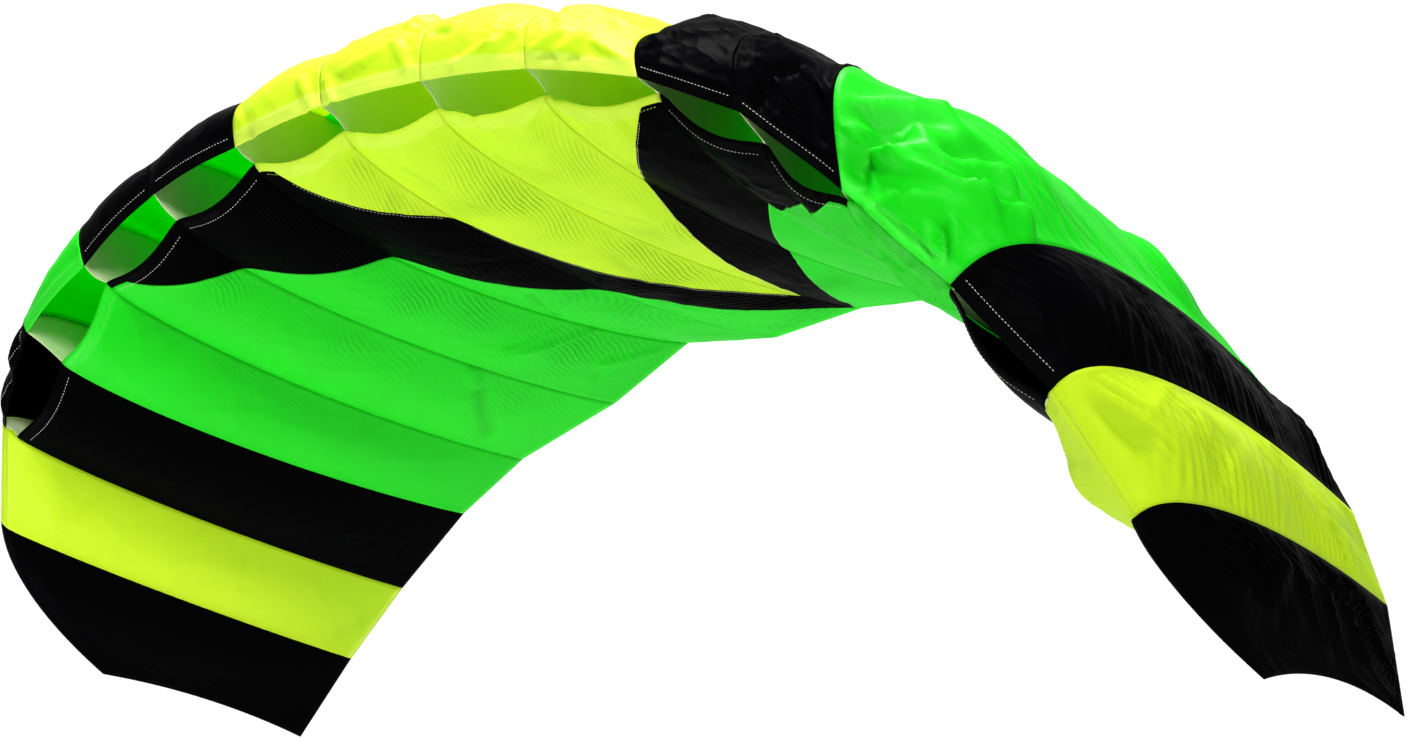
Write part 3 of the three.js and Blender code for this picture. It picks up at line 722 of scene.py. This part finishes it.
def stitch_row(side, station, x):
    """Six corners for each stitch: two ends on the path, two at its sides, and one above and below."""
    crease = crease_height(side, station[None], x[None])[0][0]
    depth = CLOTH_DEPTH + HEM_LIFT + STITCH_LIFT
    path = skin(side, station, x, depth, crease)
    outward = unit(skin(side, station, x, depth + 1, crease) - path)
    run = cloth_length(path[:, None], 0)[:, 0]
    middle = np.arange(STITCH_PITCH, run[-1] - STITCH_PITCH, STITCH_PITCH)

    def at(distance, values):
        """Values at distances along the path, straight between its points."""
        return np.stack([np.interp(distance, run, values[:, k]) for k in range(3)], -1)

    head, tail = at(middle - STITCH_LENGTH / 2, path), at(middle + STITCH_LENGTH / 2, path)
    out = unit(at(middle, outward))
    sideways = unit(np.cross(tail - head, out)) * STITCH_WIDTH / 2
    lift = out * STITCH_WIDTH / 2
    centre = (head + tail) / 2 + STITCH_RISE * lift
    return np.stack([head, tail, centre + sideways, centre - sideways, centre + lift, centre - lift], 1)


print("stitches:", STITCH_LENGTH, "mm long, every", STITCH_PITCH, "mm")

# %% All the stitches
LIP_STITCH = 15           # distance from the lip's edge
SEAM_STITCH = 4           # distance from a join between two colours
STITCH_MARGIN = 0.04      # share of the cell's width without stitches at each seam
STITCH_SAMPLES = 60
FIRST_SEWN_SHARE = 0.02   # a join nearer the nose than this has the lip's own stitches
SPINDLE = np.array([[0, 2, 4], [2, 1, 4], [1, 3, 4], [3, 0, 4], [2, 0, 5], [1, 2, 5], [3, 1, 5], [0, 3, 5]])


def stitch_object(name, rows):
    """All the stitches of some rows as one mesh of spindles."""
    corners = np.concatenate(rows)
    faces = (SPINDLE[None] + 6 * np.arange(len(corners))[:, None, None]).reshape(-1, 3)
    mesh = bpy.data.meshes.new(name)
    mesh.from_pydata((corners.reshape(-1, 3) / 1000).tolist(), [], faces.tolist())
    piece = bpy.data.objects.new(name, mesh)
    bpy.context.scene.collection.objects.link(piece)
    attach(piece, "root")
    print(name, len(corners), "stitches")
    return piece


stitch_rows = {"black": [], "yellow": [], "green": []}
for cell in range(CELLS):
    station = np.linspace(cell + STITCH_MARGIN, cell + 1 - STITCH_MARGIN, STITCH_SAMPLES)
    cloth = HALF_UPPER[out_from_centre(cell)]
    if FIRST_INTAKE <= cell <= LAST_INTAKE:
        for side in ("upper", "lower"):
            stitch_rows[cloth].append(stitch_row(side, station, share_behind(side, station, LIP_STITCH)))
    cuts = lower_cuts(cell)
    for (_, _, rear), (cloth, _, _) in zip(cuts[:-1], cuts[1:]):
        sewn = station[rear(station) > FIRST_SEWN_SHARE]
        stitch_rows[cloth].append(stitch_row("lower", sewn, rear(sewn) + SEAM_STITCH / CENTRE_CHORD))
stitch_pieces = {cloth: stitch_object(f"stitches_on_{cloth}", rows) for cloth, rows in stitch_rows.items()}

# %% [markdown]
# ## Ripstop cloth
# Ripstop is thin nylon with a thicker thread every 5 mm each way and a smooth coating. It is bright
# and even, lets some light through, and has a soft sheen that shows its creases. Black cloth lets
# almost none through. One function makes all four colours. The weave, the crumpled facets and the
# fine gathers are bumps on the flat cloth's own map, and the troughs and the gathers' bands get a
# painted shade that darkens the cloth's colour.

# %% Colours and nodes
def to_linear(code):
    """sRGB hex to linear colour, with alpha."""
    s = np.array([int(code[i:i + 2], 16) for i in (1, 3, 5)]) / 255
    return (*np.where(s <= 0.04045, s / 12.92, ((s + 0.055) / 1.055) ** 2.4).tolist(), 1.0)


def add_node(tree, kind, inputs=None, **settings):
    """Adds a node, sets its properties, and gives each input its value or links it to an output."""
    node = tree.nodes.new(kind)
    for key, value in settings.items():
        setattr(node, key, value)
    for socket, value in (inputs or {}).items():
        if isinstance(value, bpy.types.NodeSocket):
            tree.links.new(value, node.inputs[socket])
        else:
            node.inputs[socket].default_value = value
    return node


def band_scale(pitch):
    """Scale that gives bands a pitch in millimetres: at scale 1 they repeat every 2 pi / 20 metres."""
    return 1000 / pitch * 2 * np.pi / 20


print("mid grey, #808080, is", round(to_linear("#808080")[0], 3), "in linear light")

# %% Ripstop nylon
RIPSTOP_PITCH = 5.0       # millimetres between the thick threads
WEAVE_STRENGTH, WEAVE_HEIGHT = 0.12, 0.2
CLOUD_SIZE = 111          # of the faint changes of tone, millimetres
CRINKLE_SIZE, CRINKLE_HEIGHT = 30, 4.5    # of the crumpled facets, millimetres
CRINKLE_STRAY, CRINKLE_WANDER = 30, 55.6  # how far their outlines stray, and over what length
GATHER_PITCH, GATHER_DEPTH = 18, 1.2      # of the fine gathers beside a seam, millimetres
GATHER_STRAY, GATHER_WANDER = 75, 100     # how far they stray, and over what length
SEAM_TONE = (0.96, 0.975, 0.95, 1)        # what a folded seam leaves of the cloth's colour
PAINTED_TROUGH_SHADE = (0.8, 0.86, 0.78, 1)        # and a painted shade in troughs and in the gathers' bands
NYLON_IOR = 1.5


def ripstop(name, colour, shade, hem, through, shine, rough):
    """Noise mixes two tones, attributes mix in hems, seams and a painted shade in troughs and gathers; three
    bumps lie on top.
    """
    mat = bpy.data.materials.new(name)
    mat.use_nodes = True
    tree = mat.node_tree
    tree.nodes.clear()
    place = add_node(tree, "ShaderNodeTexCoord")
    flat = place.outputs["UV"]
    marks = {
        mark: add_node(tree, "ShaderNodeAttribute", attribute_name=mark).outputs["Fac"]
        for mark in MARKS
    }

    # The gathers' bands follow the pleat attribute, which runs along the seams, and stray a little
    wander = add_node(
        tree, "ShaderNodeTexNoise", {"Vector": flat, "Scale": 1000 / GATHER_WANDER, "Detail": 1})
    path = add_node(
        tree, "ShaderNodeMath", {0: wander.outputs["Fac"], 1: GATHER_STRAY / 1000, 2: marks["pleat"]},
        operation="MULTIPLY_ADD")
    along = add_node(tree, "ShaderNodeCombineXYZ", {"X": path.outputs[0]})
    pleats = add_node(
        tree, "ShaderNodeTexWave", {"Vector": along.outputs[0], "Scale": band_scale(GATHER_PITCH)},
        wave_type="BANDS", bands_direction="X")
    gather = add_node(
        tree, "ShaderNodeMath", {0: pleats.outputs["Fac"], 1: marks["gather"]}, operation="MULTIPLY")

    # The colour
    cloud = add_node(
        tree, "ShaderNodeTexNoise",
        {"Vector": place.outputs["Object"], "Scale": 1000 / CLOUD_SIZE, "Detail": 4})
    tone = add_node(
        tree, "ShaderNodeMix",
        {"Factor": cloud.outputs["Fac"], 6: to_linear(shade), 7: to_linear(colour)}, data_type="RGBA")
    doubled = add_node(
        tree, "ShaderNodeMix", {"Factor": marks["hem"], 6: tone.outputs[2], 7: to_linear(hem)},
        data_type="RGBA")
    folded = add_node(
        tree, "ShaderNodeMix", {"Factor": marks["seam"], 6: doubled.outputs[2], 7: SEAM_TONE},
        data_type="RGBA", blend_type="MULTIPLY")
    # Painted shade: the troughs and the gathers' bands darken the colour
    painted_shade = add_node(
        tree, "ShaderNodeMath", {0: gather.outputs[0], 1: marks["trough"]}, operation="MAXIMUM")
    cloth = add_node(
        tree, "ShaderNodeMix", {"Factor": painted_shade.outputs[0], 6: folded.outputs[2], 7: PAINTED_TROUGH_SHADE},
        data_type="RGBA", blend_type="MULTIPLY")

    # The three bumps: weave, crumpled facets and gathers
    threads = [
        add_node(
            tree, "ShaderNodeTexWave", {"Vector": flat, "Scale": band_scale(RIPSTOP_PITCH)},
            wave_type="BANDS", bands_direction=direction).outputs["Fac"]
        for direction in ("X", "Y")
    ]
    grid = add_node(tree, "ShaderNodeMath", dict(enumerate(threads)), operation="MAXIMUM")
    stray = add_node(
        tree, "ShaderNodeTexNoise", {"Vector": flat, "Scale": 1000 / CRINKLE_WANDER, "Detail": 2})
    bent = add_node(
        tree, "ShaderNodeVectorMath",
        {0: stray.outputs["Color"], 1: (CRINKLE_STRAY / 1000, CRINKLE_STRAY / 1000, 0), 2: flat},
        operation="MULTIPLY_ADD")
    facets = add_node(
        tree, "ShaderNodeTexVoronoi", {"Vector": bent.outputs[0], "Scale": 1000 / CRINKLE_SIZE})
    crinkle = add_node(
        tree, "ShaderNodeMath", {0: facets.outputs["Distance"], 1: marks["crinkle"]}, operation="MULTIPLY")
    weave = add_node(
        tree, "ShaderNodeBump",
        {"Height": grid.outputs[0], "Strength": WEAVE_STRENGTH, "Distance": WEAVE_HEIGHT / 1000})
    crumpled = add_node(
        tree, "ShaderNodeBump",
        {"Height": crinkle.outputs[0], "Normal": weave.outputs["Normal"], "Strength": 1,
         "Distance": CRINKLE_HEIGHT / 1000})
    bump = add_node(
        tree, "ShaderNodeBump",
        {"Height": gather.outputs[0], "Normal": crumpled.outputs["Normal"], "Strength": 1,
         "Distance": GATHER_DEPTH / 1000})

    # Light that the face throws back, and light that comes through
    face = add_node(
        tree, "ShaderNodeBsdfPrincipled",
        {"Base Color": cloth.outputs[2], "Normal": bump.outputs["Normal"], "Roughness": rough,
         "IOR": NYLON_IOR, "Specular IOR Level": shine})
    glow = add_node(tree, "ShaderNodeBsdfTranslucent", {"Color": cloth.outputs[2]})
    both = add_node(tree, "ShaderNodeMixShader", {0: through, 1: face.outputs[0], 2: glow.outputs[0]})
    add_node(tree, "ShaderNodeOutputMaterial", {"Surface": both.outputs[0]})
    return mat


print("ripstop: a thick thread every", RIPSTOP_PITCH, "mm")

# %% Four colours of cloth
# Colour, its shaded tone and its hem, then the shine and the roughness
TONES = {
    "green": ("#16EA18", "#10DE12", "#34EE32", 0.2, 0.52),
    "yellow": ("#DCF624", "#D2F01C", "#EAFB5C", 0.2, 0.52),
    "black": ("#030304", "#020203", "#050506", 0.003, 0.42),
    # The ribs are white cloth; their tones are darker and tinted green, a painted light for the green light
    # coming through the cells and the shade inside them
    "white": ("#D2E4B4", "#C6DAA6", "#DCEAC4", 0.05, 0.5),
}
# Share of the light that a face lets through: the coated outside, and the bare side in the cell
THROUGH = {
    "coated": {"green": 0.4, "yellow": 0.4, "black": 0.02, "white": 0.2},
    "bare": {"green": 0.9, "yellow": 0.9, "black": 0.02, "white": 0.2},
}


def cloth_side(colour, side):
    """The coated or the bare side of one colour of cloth."""
    main, shade, hem, shine, rough = TONES[colour]
    name = f"{colour} ripstop nylon, {side} side"
    return ripstop(name, main, shade, hem, THROUGH[side][colour], shine, rough)


CLOTHS = {colour: [cloth_side(colour, side) for side in THROUGH] for colour in TONES}
for panel in panels:
    piece, colours = panel["piece"], panel["colours"]
    for side in range(len(THROUGH)):
        for colour in colours:
            piece.data.materials.append(CLOTHS[colour][side])
    piece.modifiers["cloth"].material_offset = len(colours)
for piece in rib_pieces:
    piece.data.materials.append(CLOTHS["white"][0])
print("cloths:", [side.name for pair in CLOTHS.values() for side in pair])

# %% [markdown]
# ## Thread
# The thread is twisted polyester and matt. Noise darkens its colour as a painted shade in the grooves
# between its turns, which is enough because a stitch is hardly a pixel wide.

# %% Polyester thread
THREADS = {"black": "#E4E2DC", "yellow": "#ECF66A", "green": "#7CEE78"}
THREAD_TWIST = 1.11       # length of a turn, millimetres
# painted shade in the grooves between the thread's turns
THREAD_GROOVE_SHADE = (0.8, 0.8, 0.8, 1)
THREAD_ROUGHNESS = 0.7


def sewing_thread(cloth):
    """Noise as fine as the twist darkens the thread's colour: a painted shade in its grooves."""
    mat = bpy.data.materials.new(f"polyester thread on {cloth}")
    mat.use_nodes = True
    tree = mat.node_tree
    place = add_node(tree, "ShaderNodeTexCoord")
    twist = add_node(
        tree, "ShaderNodeTexNoise", {"Vector": place.outputs["Object"], "Scale": 1000 / THREAD_TWIST})
    tone = add_node(
        tree, "ShaderNodeMix",
        {"Factor": twist.outputs["Fac"], 6: to_linear(THREADS[cloth]), 7: THREAD_GROOVE_SHADE},
        data_type="RGBA", blend_type="MULTIPLY")
    face = tree.nodes["Principled BSDF"]
    face.inputs["Roughness"].default_value = THREAD_ROUGHNESS
    tree.links.new(tone.outputs[2], face.inputs["Base Color"])
    return mat


for cloth, piece in stitch_pieces.items():
    piece.data.materials.append(sewing_thread(cloth))
print("threads:", list(THREADS.values()))

# %% [markdown]
# ## Studio
# The kite flies in front of white. The world is white, bright behind the kite and dimmer elsewhere. A
# round light above shines through the upper skin, a soft one at the upper right gives the crowns
# their shape, and a weak one at the lower left rounds the cells underneath. A pale floor lies well
# below. The camera stands low to the right of the wing with a long lens.

# %% Floor
FLOOR_HEIGHT, FLOOR_REACH = -2.2, 9.0     # metres
FLOOR_ROUGHNESS = 0.9

corners = [(x, y, FLOOR_HEIGHT) for x, y in FLOOR_REACH * np.array([(-1, -1), (1, -1), (1, 1), (-1, 1)])]
floor_mesh = bpy.data.meshes.new("floor")
floor_mesh.from_pydata(corners, [], [(0, 1, 2, 3)])
floor = bpy.data.objects.new("floor", floor_mesh)
bpy.context.scene.collection.objects.link(floor)
paper = bpy.data.materials.new("pale studio floor")
paper.use_nodes = True
paper_face = paper.node_tree.nodes["Principled BSDF"]
paper_face.inputs["Base Color"].default_value = to_linear("#EDEDEB")
paper_face.inputs["Roughness"].default_value = FLOOR_ROUGHNESS
floor_mesh.materials.append(paper)
print("floor at", FLOOR_HEIGHT, "m")

# %% World
BACKDROP_WAY = (-0.64, 0.76, 0.1)         # from the camera to the bright backdrop behind the kite
BACKDROP_EDGE = (0.55, 0.8)               # cosine to that way at which it starts and is full
BACKDROP_LIGHT, ROOM_LIGHT = 1.1, 0.36

world = bpy.data.worlds.new("white studio")
world.use_nodes = True
sky = world.node_tree
way = add_node(sky, "ShaderNodeTexCoord")
facing = add_node(
    sky, "ShaderNodeVectorMath", {0: way.outputs["Generated"], 1: BACKDROP_WAY}, operation="DOT_PRODUCT")
strength = add_node(
    sky, "ShaderNodeMapRange",
    {"Value": facing.outputs["Value"], "From Min": BACKDROP_EDGE[0], "From Max": BACKDROP_EDGE[1],
     "To Min": ROOM_LIGHT, "To Max": BACKDROP_LIGHT})
background = sky.nodes["Background"]
background.inputs["Color"].default_value = (1, 1, 1, 1)
sky.links.new(strength.outputs[0], background.inputs["Strength"])
bpy.context.scene.world = world
bpy.context.scene.view_settings.view_transform = "Standard"
print("world light:", BACKDROP_LIGHT, "behind the kite and", ROOM_LIGHT, "elsewhere")

# %% Lights
LIGHTS = [
    # name, place, what it points at, diameter in metres, power in watts
    ("sky light", (-0.4, 0.3, 3.4), (0, 0.3, -0.2), 1.2, 275),
    ("soft light", (3.0, -2.6, 2.2), (0.3, 0.3, -0.2), 1.4, 190),
    ("low light", (-1.6, -0.6, -1.9), (0, 0.3, -0.1), 0.8, 30),
]
for name, place, target, size, power in LIGHTS:
    data = bpy.data.lights.new(name, "AREA")
    data.shape, data.size, data.energy = "DISK", size, power
    light = bpy.data.objects.new(name, data)
    light.location = place
    light.rotation_euler = (Vector(target) - Vector(place)).to_track_quat("-Z", "Y").to_euler()
    bpy.context.scene.collection.objects.link(light)
    light.visible_camera = False
print("lights:", [light[0] for light in LIGHTS])

# %% Camera
CAMERA_PLACE = (2.7211, -3.1634, -0.6774)
CAMERA_TURN = (95.811, 1.321, 37.488)     # degrees about X, Y and Z
CAMERA_LENS, CAMERA_FRAME = 97.0, 36      # millimetres: the lens, and the width of its frame

camera_data = bpy.data.cameras.new("camera")
camera_data.lens, camera_data.sensor_width = CAMERA_LENS, CAMERA_FRAME
camera = bpy.data.objects.new("camera", camera_data)
camera.location = CAMERA_PLACE
camera.rotation_euler = np.radians(CAMERA_TURN)
bpy.context.scene.collection.objects.link(camera)
bpy.context.scene.camera = camera
print("camera at", CAMERA_PLACE, "with a", CAMERA_LENS, "mm lens")

# %% [markdown]
# ## Finish
# The cloth lies on the solids, so the finished kite's box should be the frame's box but for a few
# millimetres. At the end the frame is updated.

# %% Finish
bpy.context.view_layer.update()
